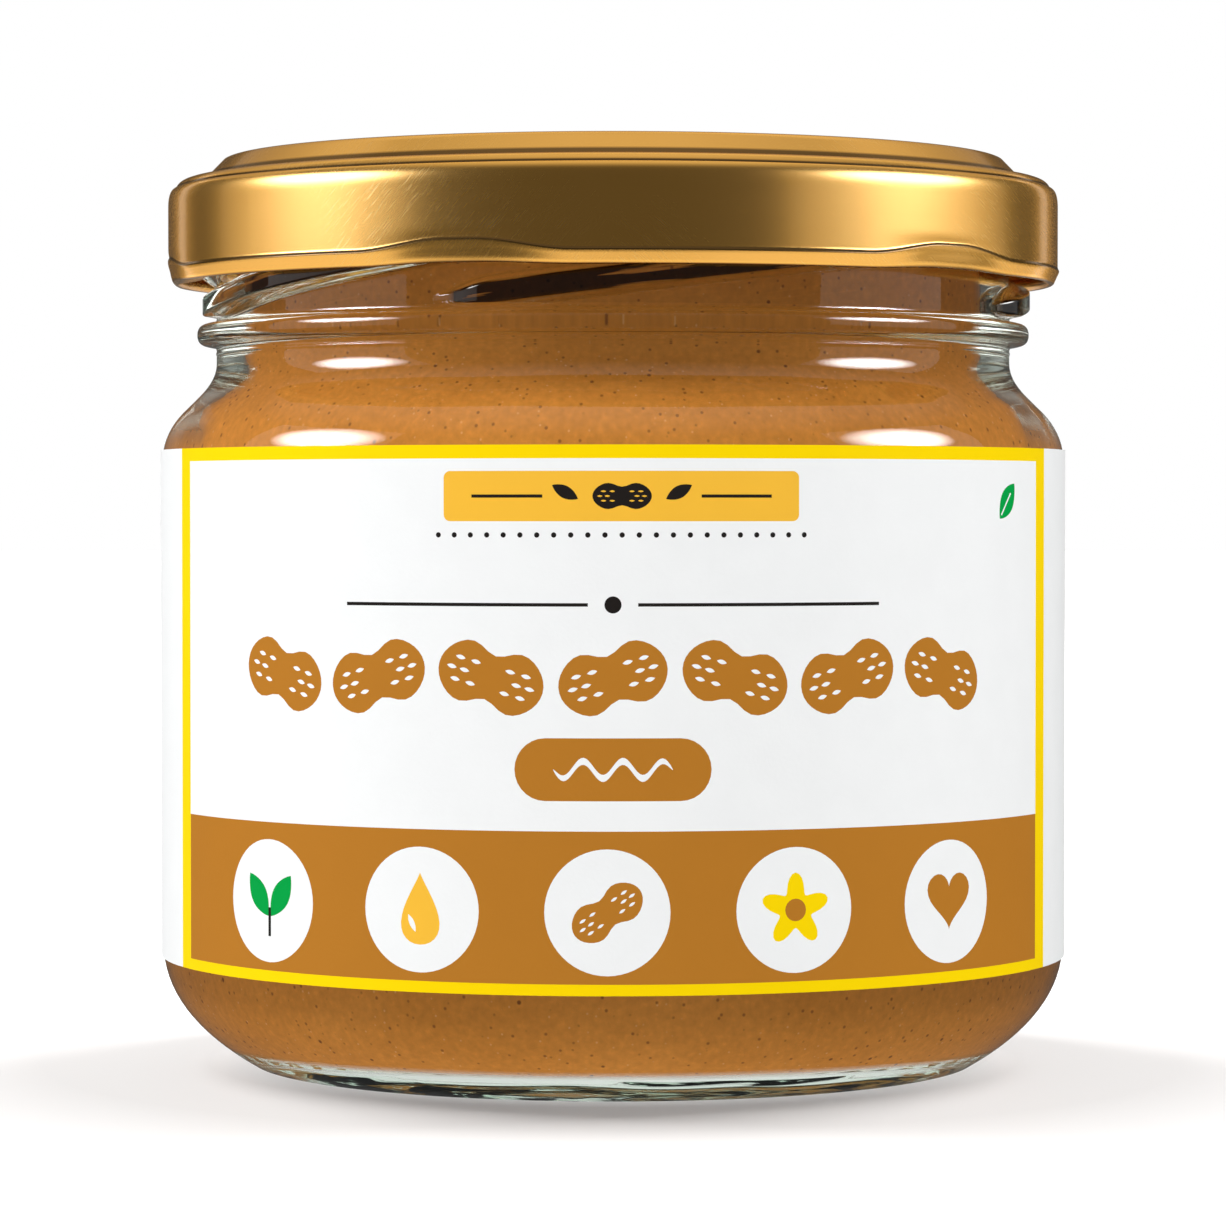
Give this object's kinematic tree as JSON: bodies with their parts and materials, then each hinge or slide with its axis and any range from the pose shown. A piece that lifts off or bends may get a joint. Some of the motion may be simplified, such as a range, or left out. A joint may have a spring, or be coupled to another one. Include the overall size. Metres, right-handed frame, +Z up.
{
  "type": "peanut butter jar",
  "caption": "Squat round clear glass jar filled with smooth peanut butter, with a paper wrap label, shut by a gold metal twist-off lid.",
  "frame": {"origin": "centre of the foot ring, on the surface that the jar stands on", "axes": "+Z up along the jar's axis, -Y towards the front of the label"},
  "size_m": [0.087, 0.087, 0.0863],
  "materials": {
    "glass": "clear pressed glass",
    "butter": "smooth paste with fine dark specks",
    "paper": "satin coated paper with printed fields of colour",
    "gold_lid": "gold lacquered sheet with fine scratches"
  },
  "bodies": {
    "root": {"jar_glass": "glass", "peanut_butter": "butter", "label": "paper", "lid": "gold_lid"}
  },
  "joints": []
}
